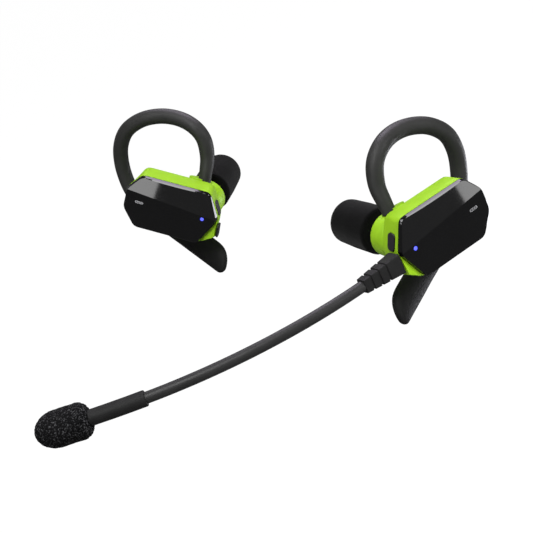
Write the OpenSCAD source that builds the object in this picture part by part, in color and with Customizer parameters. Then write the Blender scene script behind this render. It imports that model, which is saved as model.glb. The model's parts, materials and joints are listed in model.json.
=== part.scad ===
// Pair of in-ear headset units with over-ear hooks and a plug-in boom microphone.
// Each unit is drawn in one frame: +X to the back of the head, +Y into the ear, +Z up.
// The origin lies on the ear tip's axis, in the middle of the stretch that the ear grips.
// The left unit stands in that frame. The right unit is its mirror image, set down beside it.

/* [Body outline] */
// Reach of the body ahead of the ear tip's axis
nose_reach = 7.8; // [7.6:0.1:9]
// Reach of the body behind the ear tip's axis
tail_reach = 24.6; // [24:0.1:28]
// Height of the top edge above the ear tip's axis
top_rise = 10.2; // [9.6:0.1:12]
// Drop of the bottom edge below the ear tip's axis
bottom_drop = 9.1; // [8.8:0.1:11]
// Set-back of the top front corner from the nose
brow_set = 3.8; // [3:0.1:4.6]
// Set-back of the top rear corner from the tail
crown_set = 5.3; // [4.4:0.1:6.5]
// Set-back of the bottom rear corner from the tail
heel_set = 4.4; // [3.5:0.1:5.5]
// Set-back of the bottom front corner from the nose
chin_set = 5.7; // [5:0.1:6.4]
// Height at which the side button's facet meets the port's facet
port_top = 1.3; // [0.9:0.1:1.6]
// Length of the port's facet
port_facet_l = 6.6; // [6.2:0.1:7]
// Length of each softened corner along its edges, at the front
corner_cut = 1.5; // [1:0.1:2]

/* [Cover] */
// Thickness of the glossy cover
cover_t = 1.5; // [1.3:0.1:1.8]
// Width of the slanted rim round the cover
rim_w = 0.3; // [0.2:0.05:0.4]
// Depth of the slanted rim
rim_depth = 1; // [0.7:0.1:1.1]
// Tilt of the upper facet from the lower one, in degrees
facet_tilt = 4; // [2:0.5:5]
// Thickness of the seal under the cover
seal_t = 0.2; // [0.15:0.05:0.4]

/* [Housing] */
// Depth of the body, from the cover's face to its back
body_depth = 10.5; // [10.4:0.1:11.5]
// Depth of the back part of the housing
back_depth = 2; // [1.7:0.1:2.4]
// Narrowing of the housing from its front to its back, at the top
draft_top = 1.1; // [0.8:0.1:1.3]
// Wall of the housing
wall_t = 1.2; // [1:0.1:1.5]
// Distance from the body's back to the ear tip's foam
nozzle_l = 9.5; // [9:0.1:10.5]
// Radius of the domed nozzle base
dome_r = 6.5; // [6.2:0.1:6.7]
// Length of the domed nozzle base
dome_l = 6.7; // [6.4:0.1:7.2]
// Radius of the nozzle's neck
neck_r = 2.6; // [2.3:0.1:2.9]
// Radius of the sound bore
sound_r = 1.6; // [1.3:0.1:1.8]
// Length of the neck inside the ear tip
neck_l = 7; // [5:0.5:9]

/* [Ear tip] */
// Radius of the foam tip
foam_r = 7; // [6.6:0.1:7.4]
// Length of the foam's straight stretch, which the ear grips
foam_grip_l = 8; // [7:0.5:9]
// Length of the foam's tapered nose
foam_nose_l = 9.5; // [6:0.5:10]
// Wall of the plastic core inside the foam
core_wall = 0.8; // [0.6:0.1:1]

/* [Ear hook] */
// Radius of the hook where it leaves the body
hook_root_r = 2.2; // [1.9:0.1:2.3]
// Radius of the hook over the ear
hook_r = 2.7; // [2.1:0.05:2.9]
// Half width of the flat tail
tail_w = 4.6; // [3.8:0.1:4.9]
// Half thickness of the flat tail
tail_t = 1.4; // [1.1:0.1:1.7]
// Radius of the memory wire inside the hook
wire_r = 0.5; // [0.4:0.05:0.6]

/* [Controls] */
// Length of the side button
button_l = 5; // [4.2:0.1:5.2]
// Width of the side button
button_w = 3.6; // [3:0.1:3.8]
// Travel of the side button
button_travel = 0.4; // [0.2:0.05:0.5]
// Radius of the status light
light_r = 0.75; // [0.5:0.05:0.9]
// Length of the microphone slot
slot_l = 3; // [2.4:0.1:3.4]
// Width of the microphone slot
slot_w = 1; // [0.8:0.1:1.2]

/* [Port and boom] */
// Depth of the port behind the cover's face
port_depth = 3.1; // [2.9:0.1:3.3]
// Drop of the port below the top of its facet
port_drop = 3.8; // [3.6:0.1:4]
// Rise of the boom above the port's middle
boom_rise = 0.8; // [0.5:0.1:1]
// Width of the connector's tongue
tongue_w = 1.6; // [1.4:0.1:1.8]
// Height of the connector's tongue
tongue_h = 2.7; // [2.4:0.1:2.8]
// Length of the connector's tongue
tongue_l = 3.4; // [2.8:0.1:3.6]
// Width of the plug at the body
plug_w = 5.5; // [5:0.1:5.8]
// Height of the plug at the body
plug_h = 6.2; // [5.8:0.1:6.4]
// Length of the plug
plug_l = 12.8; // [11.5:0.1:14.5]
// Share of the plug's width that is left at its thin end
plug_taper = 0.64; // [0.6:0.01:0.7]
// Share of the plug's length that its first step takes
first_tier = 0.36; // [0.3:0.01:0.4]
// Number of steps along the plug
plug_tiers = 4; // [3:1:5]
// Width of each groove in the plug
groove_w = 0.7; // [0.5:0.1:0.9]
// Depth of each groove in the plug
groove_d = 0.35; // [0.2:0.05:0.45]
// Radius of the boom tube
tube_r = 1.65; // [1.5:0.05:1.7]
// Bend radius of the boom tube
tube_bend_r = 142; // [130:2:170]
// Angle that the boom tube turns through
tube_turn = 26.9; // [22:0.1:30]
// Radius of the microphone sleeve
sleeve_r = 2.28; // [2.1:0.02:2.4]
// Bend radius of the microphone sleeve
sleeve_bend_r = 220; // [200:5:260]
// Angle that the microphone sleeve turns through
sleeve_turn = 4.9; // [4:0.1:5.5]

/* [Windscreen] */
// Radius of the foam windscreen
screen_r = 5.2; // [4.8:0.1:6]
// Length of the foam windscreen
screen_l = 16; // [15:0.1:19]
// Length of the windscreen's rounded nose
screen_nose = 6.6; // [5.5:0.1:7.5]
// Radius of the rounding at the windscreen's back
screen_round = 3.2; // [2.5:0.1:4]
// Depth that the sleeve reaches into the windscreen
screen_grip = 3; // [2:0.5:4]
// Radius of the microphone capsule
capsule_r = 2.2; // [2:0.1:2.4]
// Length of the microphone capsule
capsule_l = 5; // [4:0.5:6]

/* [Right unit's place] */
// Distance of the right unit's origin from the left unit's
right_place = [-3.9, 88.4, -0.3];
// Turn of the right unit about X, then Y, then Z, in degrees
right_turn = [-1.6, 29, -49.6];

/* [Hidden] */
$fn = 48;

// Colours
gloss_black = "#1d1d1f";
lime = "#a4dc2e";
soft_grey = "#343436";
foam_black = "#151515";
seal_black = "#101010";
silver = "#b9b9bd";
board_green = "#1f6b3a";
steel = "#9a9ca0";
light_blue = "#5a64ff";

// Clearances
fit_gap = 0.05;      // a sliding or running fit, on the radius
slot_gap = 0.15;     // a button or tongue in its window
face_gap = 0.15;     // two bodies that meet face to face
soft_gap = 0.3;      // soft foam beside a hard part
corner_steps = 4;    // faces round each softened corner

// Depths along Y, from the cover's face to the ear tip
grip_half = foam_grip_l / 2;
foam_y = -grip_half;
back_y = foam_y - nozzle_l;
face_y = back_y - body_depth;
rim_y = face_y + rim_depth;
cover_back_y = face_y + cover_t;
shell_y = cover_back_y + seal_t;
joint_y = back_y - back_depth;

// Corners of the face, clockwise from the top front one, seen from outside
brow = [-nose_reach + brow_set, top_rise];
crown = [tail_reach - crown_set, top_rise];
shoulder = [tail_reach - 0.7, 4.7];
tail = [tail_reach, -2.5];
heel = [tail_reach - heel_set, -bottom_drop];
chin = [-nose_reach + chin_set, -bottom_drop];
jaw = [-nose_reach, port_top - port_facet_l];
nose = [-nose_reach, port_top];
face_outline = [brow, crown, shoulder, tail, heel, chin, nose];
body_outline = [brow, crown, shoulder, tail, heel, chin, jaw, nose];
// The same corners at the housing's back, where it is narrower
back_outline = [
    brow + [1, -draft_top], crown + [1.4, -draft_top], shoulder + [-0.6, -0.4], tail + [-1.2, 0.1],
    heel + [-0.8, 1], chin + [0.6, 1], jaw + [0.9, 0.6], nose + [0.9, -0.1]
];

// ---- Outlines, rings and lofts ----

function direction(v) = v / norm(v);
function outward(a, b) = let (e = direction(b - a)) [-e[1], e[0]];
function looped(list, i) = list[(i + len(list)) % len(list)];

// Outline with every edge moved outwards by d
function grown(outline, d) = [
    for (i = [0:len(outline) - 1])
        let (before = outward(looped(outline, i - 1), outline[i]))
        let (after = outward(outline[i], looped(outline, i + 1)))
        outline[i] + (before + after) * d / (1 + before * after)
];

// Outline with each corner rounded over a length of cut
function softened(outline, cut) = [
    for (i = [0:len(outline) - 1])
        let (corner = outline[i])
        let (from = corner + direction(looped(outline, i - 1) - corner) * cut)
        let (to = corner + direction(looped(outline, i + 1) - corner) * cut)
        for (k = [0:corner_steps])
            let (s = k / corner_steps)
            from * (1 - s) * (1 - s) + corner * 2 * s * (1 - s) + to * s * s
];

// Height of a point above the crease between the cover's two facets
crease = softened(face_outline, corner_cut);
crease_front = crease[6 * (corner_steps + 1) + corner_steps / 2];
crease_back = crease[2 * (corner_steps + 1) + corner_steps / 2];
function above_crease(p) = max(0, (p - crease_front) * outward(crease_front, crease_back));

function flat_ring(outline, y) = [for (p = outline) [p[0], y, p[1]]];
function facet_ring(outline, y) = [
    for (p = outline) [p[0], y + tan(facet_tilt) * above_crease(p), p[1]]
];

// Faces between rings of n points each, and a face over each end
function wall_faces(rings, n) = [
    for (r = [0:rings - 2]) for (i = [0:n - 1])
        let (a = r * n + i, b = r * n + (i + 1) % n)
        for (f = [[a, a + n, b + n], [a, b + n, b]]) f
];
function first_face(n) = [for (i = [1:n - 2]) [0, i, i + 1]];
function last_face(rings, n) = [for (i = [1:n - 2]) [0, i + 1, i] + [1, 1, 1] * (rings - 1) * n];

// Solid through a list of rings
module loft(rings) {
    n = len(rings[0]);
    polyhedron(
        points = [for (ring = rings) each ring],
        faces = concat(first_face(n), wall_faces(len(rings), n), last_face(len(rings), n))
    );
}

// Solid through a list of rings whose first end folds along the crease
module creased_loft(rings) {
    n = len(rings[0]);
    back = 2 * (corner_steps + 1) + corner_steps / 2;
    front = 6 * (corner_steps + 1) + corner_steps / 2;
    lower = [for (i = [back + 1:front - 1]) [back, i, i + 1]];
    upper = [for (i = [front + 1:front + n + back - front - 1]) [front, i % n, (i + 1) % n]];
    polyhedron(
        points = [for (ring = rings) each ring],
        faces = concat(lower, upper, wall_faces(len(rings), n), last_face(len(rings), n))
    );
}

// Turns a shape drawn in X and Y, extruded up, so that it stands in X and Z and runs along +Y
module along_y(y) {
    translate([0, y, 0])
        rotate([90, 0, 0])
            mirror([0, 0, 1])
                children();
}

// Rounded slot, centred, with its long side along X
module slot_shape(length, width) {
    square([length - width, width], center = true);
    for (side = [-1, 1])
        translate([side * (length - width) / 2, 0])
            circle(d = width);
}

// Rounded rectangle, centred, with its long side along X
module pad_shape(length, width) {
    r = width / 3;
    square([length - 2 * r, width], center = true);
    square([length, width - 2 * r], center = true);
    for (side = [-1, 1]) for (end = [-1, 1])
        translate([end * (length / 2 - r), side * (width / 2 - r)])
            circle(r = r);
}

// ---- Cover and housing ----

module light_place() {
    translate([4.9 - nose_reach, 0, 0.55])
        children();
}

module mic_place() {
    translate([tail_reach - 5.3, 0, 0.6])
        children();
}

module cover() {
    color(gloss_black)
        difference() {
            creased_loft([
                facet_ring(softened(grown(face_outline, -0.1), corner_cut - 0.1), face_y),
                facet_ring(softened(grown(face_outline, 0.05), corner_cut), face_y + 0.1),
                flat_ring(softened(grown(face_outline, rim_w), corner_cut), rim_y),
                flat_ring(softened(grown(face_outline, rim_w), corner_cut), cover_back_y)
            ]);
            light_place()
                along_y(face_y - 1)
                    cylinder(r = light_r + fit_gap, h = cover_t + 2);
            mic_place()
                along_y(face_y - 1)
                    linear_extrude(cover_t + 2)
                        slot_shape(slot_l + 2 * fit_gap, slot_w + 2 * fit_gap);
        }
}

seal_inset = 0.2;
seal_outline = softened(grown(face_outline, rim_w - seal_inset), corner_cut);
seal_opening = softened(grown(face_outline, -wall_t), corner_cut - 0.4);

module seal() {
    color(seal_black)
        along_y(cover_back_y)
            linear_extrude(seal_t)
                difference() {
                    polygon(seal_outline);
                    polygon(seal_opening);
                }
}

// Ring of the housing at y: it narrows evenly from the shell's front edge to the back
function draft_share(y) = (y - shell_y) / (back_y - shell_y);
function draft_outline(y) = body_outline * (1 - draft_share(y)) + back_outline * draft_share(y);
function body_ring(y, growth, cut) = flat_ring(softened(grown(draft_outline(y), growth), cut), y);

button_facet = outward(nose, brow);
button_angle = atan2(button_facet[1], button_facet[0]);
button_mid = nose * 0.73 + brow * 0.27;
button_y = face_y + 5.1;
button_draft = 8;

// Frame on the front facet: +Z points out of the facet, X runs along its length
module button_place(draft = button_draft) {
    translate([button_mid[0], button_y, button_mid[1]])
        rotate([0, 90 - button_angle, 0])
            rotate([-draft, 0, 0])
                translate([0, 0, rim_w - 0.5])
                    rotate([0, 0, 180])
                        children();
}

port_y = face_y + port_depth;
port_z = port_top - port_drop;
port_x = -nose_reach - rim_w;

// Frame on the port's facet: +X points forward out of the body
module port_place() {
    translate([port_x, port_y, port_z])
        rotate([0, 0, 180])
            children();
}

// Lower front corner, which rises beside the cover to its face
module chin_wedge() {
    rim = grown(body_outline, rim_w);
    edge = grown(face_outline, rim_w + fit_gap);
    along = direction(edge[6] - edge[5]);
    low = [
        edge[5] + along * corner_cut,
        rim[5] + direction(rim[6] - rim[5]) * corner_cut,
        rim[6],
        edge[6] - along * corner_cut * 0.6
    ];
    tip = [rim[6][0] + 0.5, face_y - 0.1, rim[6][1] + 0.3];
    base = [for (p = low) [p[0], shell_y + 0.4, p[1]]];
    top = [for (p = low) [p[0], cover_back_y - 0.2, p[1]]];
    polyhedron(
        points = concat(base, [top[0], top[1], tip, top[3]]),
        faces = [
            [0, 3, 2], [0, 2, 1],
            [4, 5, 6], [4, 6, 7],
            [0, 1, 5], [0, 5, 4],
            [1, 2, 6], [1, 6, 5],
            [2, 3, 7], [2, 7, 6],
            [3, 0, 4], [3, 4, 7]
        ]
    );
}

module shell() {
    color(lime)
        difference() {
            union() {
                loft([
                    body_ring(shell_y, rim_w, corner_cut),
                    body_ring((shell_y + joint_y) / 2, rim_w * 0.6, corner_cut + 0.1),
                    body_ring(joint_y, rim_w * 0.2, corner_cut + 0.2)
                ]);
                chin_wedge();
            }
            loft([
                body_ring(shell_y - 0.1, -wall_t, corner_cut - 0.4),
                body_ring(joint_y + 0.1, -wall_t, corner_cut - 0.4)
            ]);
            button_place()
                translate([0, 0, -wall_t - 1])
                    linear_extrude(wall_t + 2)
                        pad_shape(button_l + 2 * slot_gap, button_w + 2 * slot_gap);
            port_place()
                translate([-wall_t - 1, -tongue_w / 2 - slot_gap, -tongue_h / 2 - slot_gap])
                    cube([wall_t + 2, tongue_w + 2 * slot_gap, tongue_h + 2 * slot_gap]);
        }
}

// ---- Nozzle, hook seat and inner housing ----

neck_end_y = foam_y + neck_l;
dome_y = back_y + dome_l;
speaker_r = 4.6;
speaker_l = 3.6;
speaker_y = back_y + 3;
mesh_t = 0.3;

// Domed base, neck and sound bore, drawn as radius against depth
module nozzle_outside() {
    along_y(0)
        rotate_extrude()
            polygon(concat(
                [[0, joint_y + 0.5], [dome_r - 0.6, joint_y + 0.5], [dome_r - 0.6, back_y + 0.3]],
                [[dome_r - 0.15, back_y + 1.6], [dome_r, back_y + 3]],
                [for (a = [0:15:90])
                    [dome_r - 1.4 + 1.4 * cos(a), dome_y - 1.4 + 1.4 * sin(a)]],
                [[neck_r, dome_y], [neck_r, neck_end_y], [0, neck_end_y]]
            ));
}

module nozzle_inside() {
    along_y(0)
        rotate_extrude()
            polygon([
                [0, joint_y - 1], [speaker_r + fit_gap, joint_y - 1],
                [speaker_r + fit_gap, speaker_y], [sound_r + 0.8, speaker_y],
                [sound_r, speaker_y + 1.2], [sound_r, neck_end_y - mesh_t],
                [sound_r + 0.4, neck_end_y - mesh_t], [sound_r + 0.4, neck_end_y + 1],
                [0, neck_end_y + 1]
            ]);
}

hook_root = [1.2, back_y + 3.6, dome_r + 0.2];
hook_root_tilt = -22;
stub_l = 1.4;

module hook_root_place() {
    translate(hook_root)
        rotate([hook_root_tilt, 0, 0])
            children();
}

battery_r = 5.8;
battery_l = 5;
battery_set = 2.7;   // from the battery to the end of the body
board_gap = 0.9;     // from the board to the battery
battery_x = tail_reach - battery_set - battery_r;
board_end = battery_x - battery_r - board_gap;

post_l = 1.2;
post_r = 0.8;
post_front = 5.6 - nose_reach;
post_back = board_end - 1.4;
posts = [[post_front, 5.6], [post_back, 5.6], [post_back, -5.2], [post_front, -5.1]];

module inner_housing() {
    color(lime)
        difference() {
            union() {
                loft([
                    body_ring(joint_y, rim_w * 0.2, corner_cut + 0.2),
                    body_ring(back_y - 0.6, 0, corner_cut + 0.4),
                    body_ring(back_y - 0.2, -0.2, corner_cut + 0.5),
                    body_ring(back_y, -0.6, corner_cut + 0.6)
                ]);
                nozzle_outside();
                hook_root_place()
                    translate([2.4, 0, -2.4])
                        cylinder(r = hook_root_r + 0.8, h = 3.2);
                for (p = posts)
                    translate([p[0], 0, p[1]])
                        along_y(joint_y - post_l)
                            cylinder(r = post_r, h = post_l + 0.5);
            }
            nozzle_inside();
            hook_root_place()
                translate([0, 0, -stub_l])
                    cylinder(r = hook_root_r - 0.6 + fit_gap, h = stub_l + 4);
            hook_root_place()
                cylinder(r = hook_root_r + fit_gap, h = 6);
        }
}

module nozzle_mesh() {
    color(steel)
        along_y(neck_end_y - mesh_t)
            difference() {
                cylinder(r = sound_r + 0.4, h = mesh_t);
                for (ring = [1:2]) for (k = [0:4 * ring - 1])
                    rotate([0, 0, k * 90 / ring])
                        translate([0.65 * ring, 0, -1])
                            cylinder(r = 0.18, h = mesh_t + 2, $fn = 16);
            }
}

module speaker() {
    color(steel)
        along_y(speaker_y - speaker_l)
            rotate_extrude()
                polygon([
                    [0, 0], [speaker_r - 1.4, 0], [speaker_r - 1.2, 0.8], [speaker_r, 0.8],
                    [speaker_r, speaker_l], [speaker_r - 0.7, speaker_l], [speaker_r - 0.9, speaker_l - 0.4],
                    [1.2, speaker_l - 0.7], [0, speaker_l - 0.5]
                ]);
}

// ---- Inside the housing ----

board_y = joint_y - post_l;
board_t = 0.8;
flange_t = 0.5;
flange_w = 0.4;
button_proud = 0.35;
button_depth = wall_t + 0.3 + face_gap;
switch_pin_l = 1.2;
switch_reach = button_depth + flange_t + button_travel + face_gap + switch_pin_l;

module battery() {
    color(silver)
        translate([battery_x, 0, -0.2])
            along_y(joint_y - battery_l)
                rotate_extrude()
                    polygon([
                        [0, 0], [battery_r - 0.9, 0], [battery_r - 0.8, 0.3], [battery_r - 0.3, 0.3],
                        [battery_r, 0.6], [battery_r, battery_l], [0, battery_l]
                    ]);
}

// The board's edge is notched where the pressed button comes in
module circuit_board() {
    notch_l = button_l + 2 * (flange_w + face_gap);
    color(board_green)
        difference() {
            along_y(board_y - board_t)
                linear_extrude(board_t)
                    intersection() {
                        polygon(softened(grown(back_outline, -wall_t - 0.5), corner_cut));
                        translate([-nose_reach, -bottom_drop])
                            square([nose_reach + board_end, bottom_drop + top_rise]);
                    }
            button_place()
                translate([-notch_l / 2, -button_w, -button_depth - flange_t - button_travel - face_gap])
                    cube([notch_l, 2 * button_w, button_depth + flange_t]);
        }
}

module button_switch() {
    color(steel)
        button_place(0)
            translate([0, 0, -switch_reach]) {
                translate([-1.6, -(board_y - board_t - button_y), -0.8])
                    cube([3.2, board_y - board_t - button_y + 1.5, 1.6]);
                cylinder(r = 0.7, h = switch_pin_l);
            }
}

module side_button() {
    color(soft_grey)
        button_place() {
            translate([0, 0, -button_depth - flange_t])
                linear_extrude(button_depth + flange_t + button_proud)
                    pad_shape(button_l, button_w);
            translate([0, 0, -button_depth - flange_t])
                linear_extrude(flange_t)
                    pad_shape(button_l + 2 * flange_w, button_w + 2 * flange_w);
        }
}

light_flange = 0.4;

module status_light() {
    color(light_blue)
        light_place()
            along_y(0)
                rotate_extrude()
                    polygon([
                        [0, face_y], [light_r - 0.1, face_y], [light_r, face_y + 0.1],
                        [light_r, cover_back_y], [light_r + 0.25, cover_back_y],
                        [light_r + 0.25, cover_back_y + light_flange], [0, cover_back_y + light_flange]
                    ]);
}

module mic_grille() {
    color(silver)
        mic_place()
            along_y(face_y + 0.1)
                difference() {
                    union() {
                        linear_extrude(cover_t - 0.1)
                            slot_shape(slot_l, slot_w);
                        translate([0, 0, cover_t - 0.1])
                            linear_extrude(0.4)
                                slot_shape(slot_l + 0.8, slot_w + 0.8);
                    }
                    for (k = [-1:1])
                        translate([k * slot_l / 4, 0, -1])
                            linear_extrude(cover_t + 4)
                                rotate(60)
                                    slot_shape(slot_w * 0.7, 0.24);
                }
}

socket_l = tongue_l + 0.4;
socket_wall = 0.4;
socket_set = 0.8;    // from the wall's inside to the socket, past the draft
socket_w = tongue_w + 2 * slot_gap + 2 * socket_wall;
socket_h = tongue_h + 2 * slot_gap + 2 * socket_wall;

module port_socket() {
    color(steel)
        port_place()
            translate([-wall_t - socket_set - socket_l, 0, 0])
                difference() {
                    union() {
                        translate([0, -socket_w / 2, -socket_h / 2])
                            cube([socket_l, socket_w, socket_h]);
                        translate([0.6, -(board_y - board_t - port_y), -1.2])
                            cube([1.6, board_y - board_t - port_y, 2.4]);
                    }
                    translate([0.5, -tongue_w / 2 - slot_gap, -tongue_h / 2 - slot_gap])
                        cube([socket_l, tongue_w + 2 * slot_gap, tongue_h + 2 * slot_gap]);
                }
}

// ---- Ear tip ----

foam_edge = 0.5;     // bevel round the foam's flat back
foam_back_y = foam_y - foam_edge;
core_end_y = foam_y + foam_grip_l + foam_nose_l - 2;
core_r = neck_r + fit_gap + core_wall;

module tip_core() {
    color(seal_black)
        along_y(0)
            rotate_extrude()
                polygon([
                    [neck_r + fit_gap, foam_back_y], [core_r, foam_back_y], [core_r, core_end_y],
                    [sound_r, core_end_y], [sound_r, neck_end_y + 0.4], [neck_r + fit_gap, neck_end_y + 0.4]
                ]);
}

foam_end_y = foam_y + foam_grip_l + foam_nose_l;
foam_end_r = foam_r - 0.3;
foam_round = 2.2;

module foam_tip() {
    color(foam_black)
        along_y(0)
            rotate_extrude()
                polygon(concat(
                    [[core_r, foam_back_y], [foam_r - foam_edge, foam_back_y]],
                    [[foam_r, foam_y], [foam_r, grip_half]],
                    [for (a = [0:15:90])
                        [foam_end_r - foam_round + foam_round * cos(a),
                            foam_end_y - foam_round + foam_round * sin(a)]],
                    [[core_r, foam_end_y]]
                ));
}

// ---- Ear hook ----

// Middle of the hook, from the body, over and behind the ear, to the end of the tail
hook_route = [
    hook_root, [1.5, -8.6, 10], [2.2, -6.6, 14.5], [4.4, -5.6, 20], [8.4, -4.9, 23.3],
    [14.2, -3.3, 24.1], [21, -2.3, 22.9], [27.5, -2.6, 19.9], [32.3, -3, 14.8],
    [34.1, -2.6, 8.5], [33.7, -2.2, 2.4], [31.6, -2.3, -3.7], [27.6, -3.1, -9.4],
    [21, -4.8, -13.2], [12.5, -7.3, -15.1], [4, -10.6, -15.6], [-4.6, -14.5, -16.6],
    [-13, -18.3, -17.8]
];
hook_last = len(hook_route) - 1;
hook_steps = 4;      // rings along each stretch of the route
hook_sides = 16;
// Across the hook's flat side, at its start and along its tail
hook_across = [0, 1, 0];
tail_across = [-0.33, 0.85, -0.35];
tail_from = 12;      // the route's point where the hook starts to flatten
tail_full = 15.5;    // the route's point where the tail has its full width
// Shares of the last stretch over which the tail's curved and straight edges come in to its tip
tail_round = 0.7;
tail_nib = 0.22;
tail_tip = 0.55;     // how far off the middle the tip lies, as a share of the half width

function route_point(i) =
    i < 0 ? 2 * hook_route[0] - hook_route[1] :
    i > hook_last ? 2 * hook_route[hook_last] - hook_route[hook_last - 1] : hook_route[i];

// Point at t along a smooth curve through the route's points
function along_route(t) =
    let (i = min(floor(t), hook_last - 1), s = t - i)
    let (a = route_point(i - 1), b = route_point(i), c = route_point(i + 1), d = route_point(i + 2))
    (2 * b + (c - a) * s + (2 * a - 5 * b + 4 * c - d) * s * s + (3 * b - a - 3 * c + d) * s * s * s) / 2;

function heading(t) = direction(along_route(t + 0.01) - along_route(t - 0.01));
function eased(s) = let (k = min(1, max(0, s))) k * k * (3 - 2 * k);
function flatness(t) = eased((t - tail_from) / (tail_full - tail_from));
function end_share(t, span) = let (k = max(0, 1 - (hook_last - t) / span)) sqrt(max(0.01, 1 - k * k));
function straight_edge(t) = tail_tip + (1 - tail_tip) * end_share(t, tail_nib);
function curved_edge(t) = tail_tip - (1 + tail_tip) * end_share(t, tail_round);
function half_width(t) = (straight_edge(t) - curved_edge(t)) / 2 *
    (hook_root_r + (hook_r - hook_root_r) * eased(t / 3) + (tail_w - hook_r) * flatness(t));
function half_thickness(t) = sqrt(end_share(t, tail_round)) *
    (hook_root_r + (hook_r - hook_root_r) * eased(t / 3) + (tail_t - hook_r) * flatness(t));

// Sideways shift of the tail's narrowing end, which leaves its lower edge almost straight
function tail_lean(t) = tail_w * flatness(t) * (straight_edge(t) + curved_edge(t)) / 2;

// Ring of the hook at t, with half widths w and h
function hook_ring(t, w, h, lean, sides) =
    let (forward = heading(t))
    let (lift = hook_across * (1 - flatness(t)) + tail_across * flatness(t))
    let (across = direction(lift - forward * (lift * forward)))
    let (wide = cross(forward, across))
    let (middle = along_route(t) + wide * lean)
    [for (k = [0:sides - 1])
        let (a = -k * 360 / sides)
        middle + wide * w * cos(a) + across * h * sin(a)];

hook_rings = concat(
    [for (k = [0:hook_last * hook_steps - 3]) k / hook_steps],
    [for (a = [15:15:90]) hook_last - tail_round * (1 - sin(a))]
);

module hook_sweep() {
    loft([
        for (t = hook_rings)
            hook_ring(t, half_width(t), half_thickness(t), tail_lean(t), hook_sides)
    ]);
}

wire_last = hook_last - 2;

module wire_sweep(r) {
    loft([
        for (k = [0:wire_last * 2])
            hook_ring(k / 2, r, r, 0, 6)
    ]);
}

module ear_hook() {
    color(soft_grey)
        difference() {
            union() {
                hook_sweep();
                hook_root_place()
                    translate([0, 0, -stub_l])
                        cylinder(r = hook_root_r - 0.6, h = stub_l + 1);
            }
            wire_sweep(wire_r + fit_gap);
        }
}

module hook_wire() {
    color(steel)
        wire_sweep(wire_r);
}

// ---- Boom ----

boom_y = port_y;
boom_z = port_z + boom_rise;
plug_roll = -7;
plug_x = port_x - face_gap;
tube_x = plug_x - plug_l;

// Rounded rectangle across the boom at x, scaled about the boom's own line
function plug_ring(x, share, inset) =
    let (w = plug_w / 2 * share - inset, h = plug_h / 2 * share - inset, c = 0.7 * share)
    [for (p = [
        [-w, h - c], [-w + 0.3 * c, h - 0.3 * c], [-w + c, h],
        [w - c, h], [w - 0.3 * c, h - 0.3 * c], [w, h - c],
        [w, -h + c], [w - 0.3 * c, -h + 0.3 * c], [w - c, -h],
        [-w + c, -h], [-w + 0.3 * c, -h + 0.3 * c], [-w, -h + c]
    ]) [
        x,
        boom_y + p[0] * cos(plug_roll) - p[1] * sin(plug_roll),
        boom_z + p[0] * sin(plug_roll) + p[1] * cos(plug_roll)
    ]];

tier_l = (plug_l * (1 - first_tier) - (plug_tiers - 1) * groove_w) / (plug_tiers - 1);
function tier_start(k) = k == 0 ? 0 : plug_l * first_tier + groove_w + (k - 1) * (tier_l + groove_w);
function plug_share(x) = 1 - (1 - plug_taper) * x / plug_l;

// End of the boom tube inside the plug
module tube_stub(start) {
    translate([start, 0, 0])
        rotate([0, 90, 0])
            cylinder(r = tube_r - 0.3, h = 2 - start);
}

module boom_plug() {
    color(soft_grey)
        difference() {
            loft([
                for (k = [0:plug_tiers - 1])
                    let (from = tier_start(k), to = k == 0 ? plug_l * first_tier : from + tier_l)
                    for (ring = concat(
                        k == 0 ? [] : [[from, groove_d]],
                        [[from + 0.01, 0], [to, 0]],
                        k == plug_tiers - 1 ? [] : [[to + 0.01, groove_d]]))
                        plug_ring(plug_x - ring[0], plug_share(ring[0]) + (k == 0 ? 0 : 0.02), ring[1])
            ]);
            at_tube()
                tube_stub(-1);
        }
}

module boom_connector() {
    color(silver)
        translate([plug_x, port_y - tongue_w / 2, port_z - tongue_h / 2])
            difference() {
                cube([tongue_l + face_gap, tongue_w, tongue_h]);
                translate([0.8, 0.35, 0.35])
                    cube([tongue_l + 1, tongue_w - 0.7, tongue_h - 0.7]);
            }
}

// Frame after a bend of radius r through angle a; X runs back along the boom
module after_bend(r, a) {
    translate([0, r, 0])
        rotate([0, 0, -a])
            translate([0, -r, 0])
                children();
}

module bent_tube(tube, r, a) {
    translate([0, r, 0])
        rotate([0, 0, -90 - a])
            rotate_extrude(angle = a, $fn = 240)
                translate([r, 0])
                    circle(r = tube, $fn = 32);
}

module at_tube() {
    translate([tube_x, boom_y, boom_z])
        children();
}

module at_sleeve() {
    at_tube()
        after_bend(tube_bend_r, tube_turn)
            children();
}

module at_mic() {
    at_sleeve()
        after_bend(sleeve_bend_r, sleeve_turn)
            children();
}

module boom_tube() {
    color(soft_grey) {
        at_tube()
            tube_stub(-0.5);
        at_tube()
            bent_tube(tube_r, tube_bend_r, tube_turn);
    }
}

module mic_sleeve() {
    color(soft_grey)
        at_sleeve()
            bent_tube(sleeve_r, sleeve_bend_r, sleeve_turn);
}

module mic_capsule() {
    color(steel)
        at_mic()
            rotate([0, -90, 0])
                difference() {
                    cylinder(r = capsule_r, h = capsule_l);
                    for (k = [0:5])
                        rotate([0, 0, k * 60])
                            translate([capsule_r * 0.6, 0, capsule_l - 0.6])
                                cylinder(r = 0.3, h = 2, $fn = 16);
                }
}

screen_bore_r = capsule_r + soft_gap;

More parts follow.
